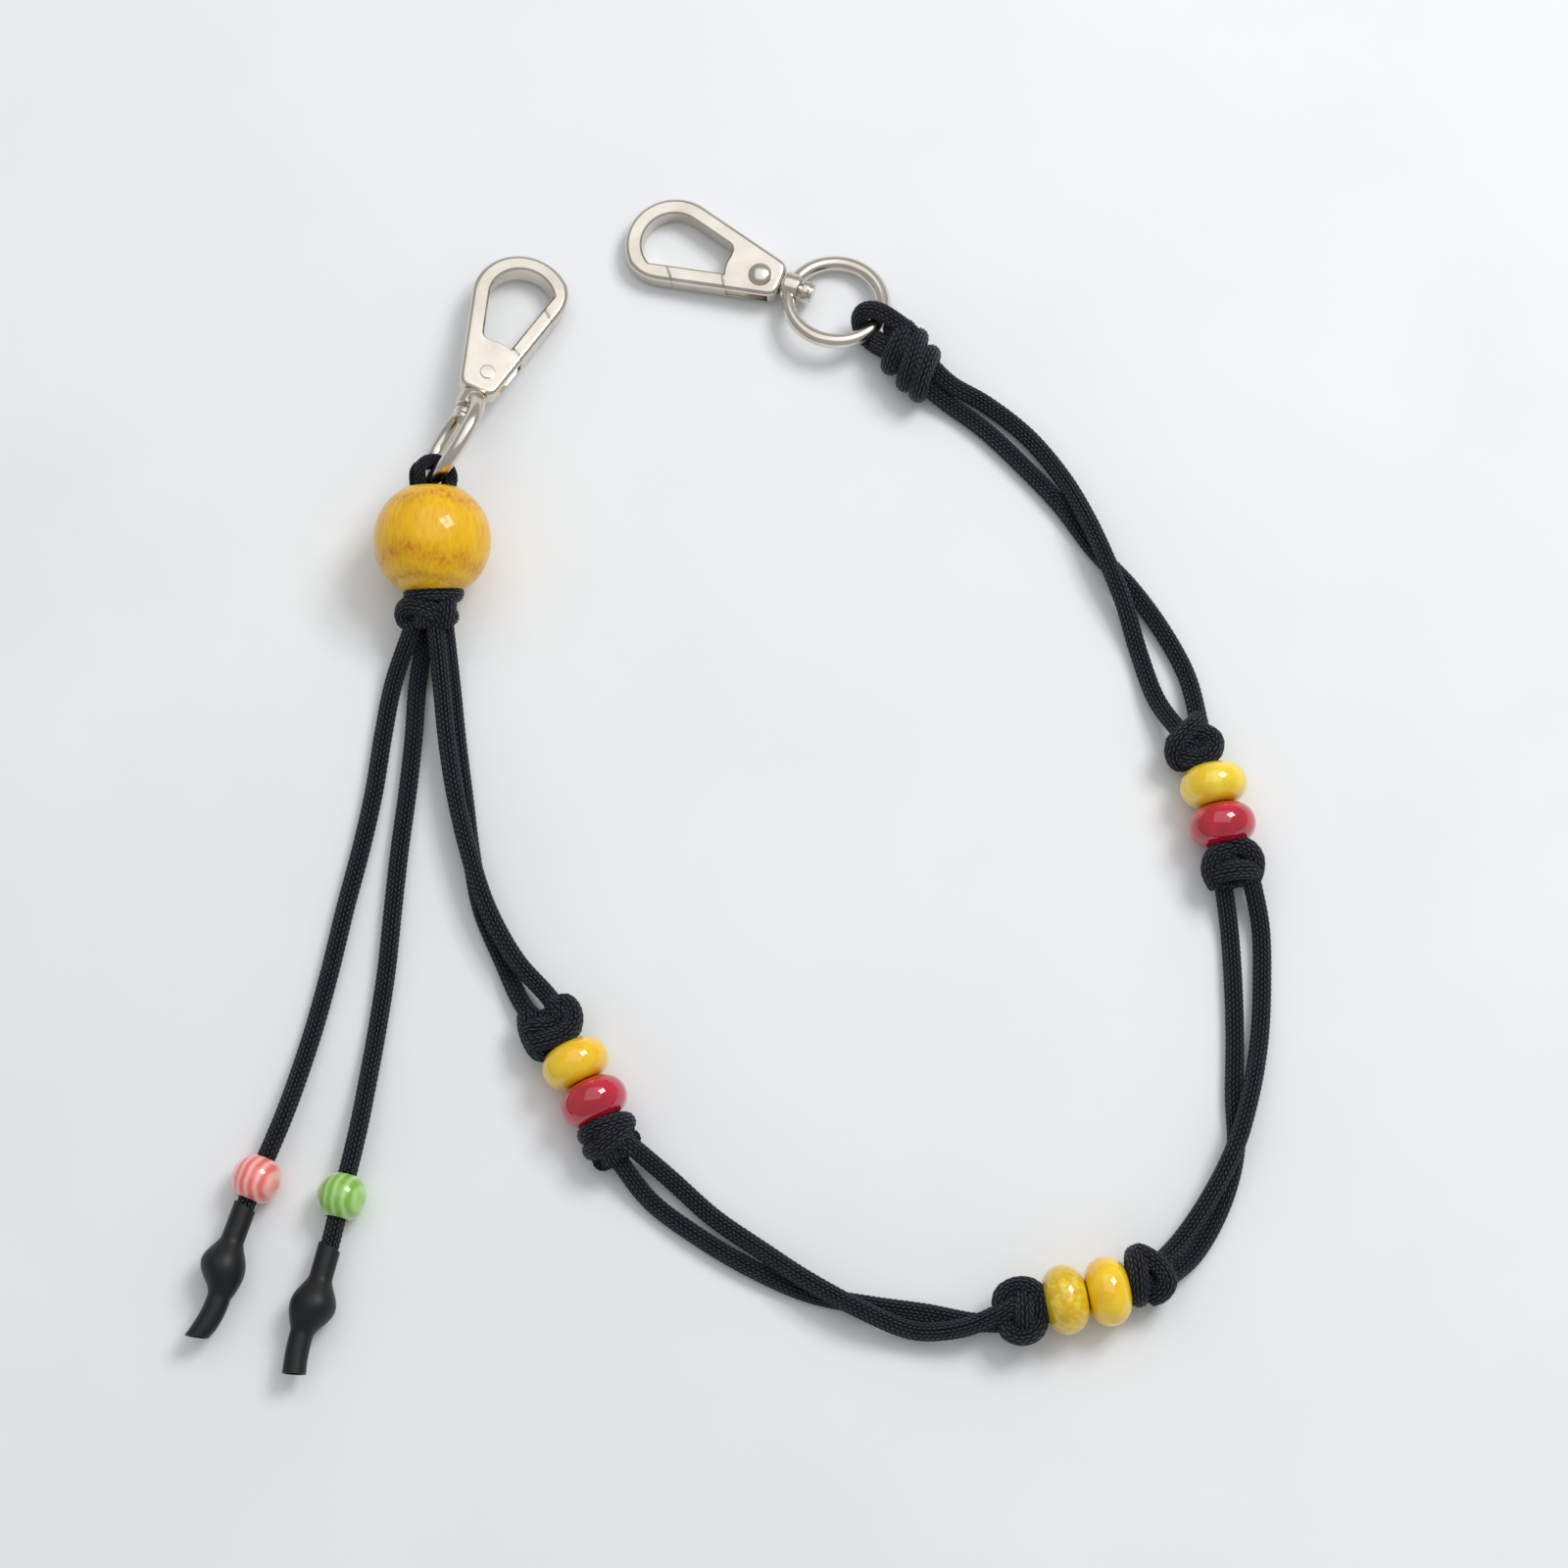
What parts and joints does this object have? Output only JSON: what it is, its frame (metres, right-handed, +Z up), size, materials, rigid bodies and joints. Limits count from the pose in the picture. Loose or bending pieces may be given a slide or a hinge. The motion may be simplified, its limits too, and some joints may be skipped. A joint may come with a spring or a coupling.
{
  "type": "beaded cord strap",
  "caption": "Doubled braided-cord strap with a sprung swivel snap hook at each end, glass beads between knots, a wooden ball and beaded, sleeved tails.",
  "frame": {"origin": "middle of the laid-out strap's footprint, on the table it lies on", "axes": "+Y from the beaded tails towards the snap hooks, +X towards the strap's bend, +Z up from the table"},
  "size_m": [0.2228, 0.2572, 0.025],
  "materials": {
    "polished_nickel": "polished",
    "spring_steel": "satin",
    "lacquered_wood": "gloss lacquer",
    "red_glass": "gloss",
    "speckled_yellow_glass": "gloss",
    "yellow_glass": "gloss",
    "coral_pearl": "pearly",
    "green_pearl": "pearly",
    "shrink_sleeve": "matt",
    "braided_cord": "braided"
  },
  "bodies": {
    "strap": {"sleeve_left": "shrink_sleeve", "sleeve_right": "shrink_sleeve", "stopper_left": "braided_cord", "stopper_right": "braided_cord", "knot_a": "braided_cord", "knot_b": "braided_cord", "knot_c": "braided_cord", "knot_d": "braided_cord", "knot_e": "braided_cord", "knot_f": "braided_cord", "knot_g": "braided_cord", "knot_h": "braided_cord", "loop_ring_a": "braided_cord", "loop_ring_b_upper": "braided_cord", "loop_ring_b_lower": "braided_cord", "core_bc": "braided_cord", "core_de": "braided_cord", "core_gf": "braided_cord", "strand_ab_over": "braided_cord", "strand_ab_under": "braided_cord", "strand_cd_over": "braided_cord", "strand_cd_under": "braided_cord", "strand_ef_over": "braided_cord", "strand_ef_under": "braided_cord", "strand_gh_over": "braided_cord", "strand_gh_under": "braided_cord", "tail_cord_left": "braided_cord", "tail_cord_right": "braided_cord"},
    "hook_a": {"hook_body_a": "polished_nickel", "gate_rivet_a": "polished_nickel", "gate_spring_a": "spring_steel", "swivel_post_a": "polished_nickel"},
    "gate_a": {"gate_a": "polished_nickel"},
    "ring_a": {"swivel_ring_a": "polished_nickel"},
    "hook_b": {"hook_body_b": "polished_nickel", "gate_rivet_b": "polished_nickel", "gate_spring_b": "spring_steel", "swivel_post_b": "polished_nickel"},
    "gate_b": {"gate_b": "polished_nickel"},
    "ring_b": {"swivel_ring_b": "polished_nickel"},
    "ball": {"wooden_ball": "lacquered_wood"},
    "bead_yellow_bc": {"bead_yellow_bc": "yellow_glass"},
    "bead_red_bc": {"bead_red_bc": "red_glass"},
    "bead_clear_de": {"bead_clear_de": "speckled_yellow_glass"},
    "bead_yellow_de": {"bead_yellow_de": "yellow_glass"},
    "bead_yellow_gf": {"bead_yellow_gf": "yellow_glass"},
    "bead_red_gf": {"bead_red_gf": "red_glass"},
    "tail_bead_left": {"tail_bead_left": "coral_pearl"},
    "tail_bead_right": {"tail_bead_right": "green_pearl"}
  },
  "joints": [
    {"name": "ring_a_swing", "type": "hinge", "parent": "strap", "child": "ring_a", "pos_m": [0.03107, 0.09964, 0.00619], "axis": [0.5892, 0.782, -0.2034], "range_deg": [-50, 50]},
    {"name": "hook_a_swivel", "type": "hinge", "parent": "ring_a", "child": "hook_a", "pos_m": [0.01324, 0.10926, 0.00454], "axis": [0.9323, -0.3579, 0.0523], "continuous": true},
    {"name": "gate_a_open", "type": "hinge", "parent": "hook_a", "child": "gate_a", "pos_m": [0.00644, 0.11133, 0.00417], "axis": [0.0489, -0.0188, -0.9986], "range_deg": [0, 24], "stiffness_Nm_per_rad": 0.01},
    {"name": "ring_b_swing", "type": "hinge", "parent": "strap", "child": "ring_b", "pos_m": [-0.06293, 0.06157, 0.01493], "axis": [0.4463, 0.0233, 0.8946], "range_deg": [-25, 25]},
    {"name": "hook_b_swivel", "type": "hinge", "parent": "ring_b", "child": "hook_b", "pos_m": [-0.05557, 0.08024, 0.01078], "axis": [-0.3589, -0.9111, 0.2028], "continuous": true},
    {"name": "gate_b_open", "type": "hinge", "parent": "hook_b", "child": "gate_b", "pos_m": [-0.05256, 0.08652, 0.00928], "axis": [0.1872, 0.1426, 0.9719], "range_deg": [0, 24], "stiffness_Nm_per_rad": 0.01},
    {"name": "ball_spin", "type": "hinge", "parent": "strap", "child": "ball", "pos_m": [-0.063, 0.0486, 0.0125], "axis": [0, 0.9848, 0.1736], "continuous": true},
    {"name": "bead_yellow_bc_spin", "type": "hinge", "parent": "strap", "child": "bead_yellow_bc", "pos_m": [0.10154, -0.00367, 0.00715], "axis": [0.1736, -0.9848, 0], "continuous": true},
    {"name": "bead_red_bc_spin", "type": "hinge", "parent": "strap", "child": "bead_red_bc", "pos_m": [0.10306, -0.01233, 0.00715], "axis": [0.1736, -0.9848, 0], "continuous": true},
    {"name": "bead_yellow_de_spin", "type": "hinge", "parent": "strap", "child": "bead_yellow_de", "pos_m": [0.07712, -0.10986, 0.00715], "axis": [-0.9816, -0.1908, 0], "continuous": true},
    {"name": "bead_clear_de_spin", "type": "hinge", "parent": "strap", "child": "bead_clear_de", "pos_m": [0.06848, -0.11154, 0.00715], "axis": [-0.9816, -0.1908, 0], "continuous": true},
    {"name": "bead_yellow_gf_spin", "type": "hinge", "parent": "strap", "child": "bead_yellow_gf", "pos_m": [-0.03143, -0.06295, 0.00715], "axis": [0.4384, -0.8988, 0], "continuous": true},
    {"name": "bead_red_gf_spin", "type": "hinge", "parent": "strap", "child": "bead_red_gf", "pos_m": [-0.02757, -0.07086, 0.00715], "axis": [0.4384, -0.8988, 0], "continuous": true},
    {"name": "tail_bead_left_slide", "type": "slide", "parent": "strap", "child": "tail_bead_left", "axis": [0.3633, 0.9317, 0], "range_m": [0, 0.008]},
    {"name": "tail_bead_right_slide", "type": "slide", "parent": "strap", "child": "tail_bead_right", "axis": [0.2079, 0.9781, 0], "range_m": [-0.004, 0.008]}
  ]
}
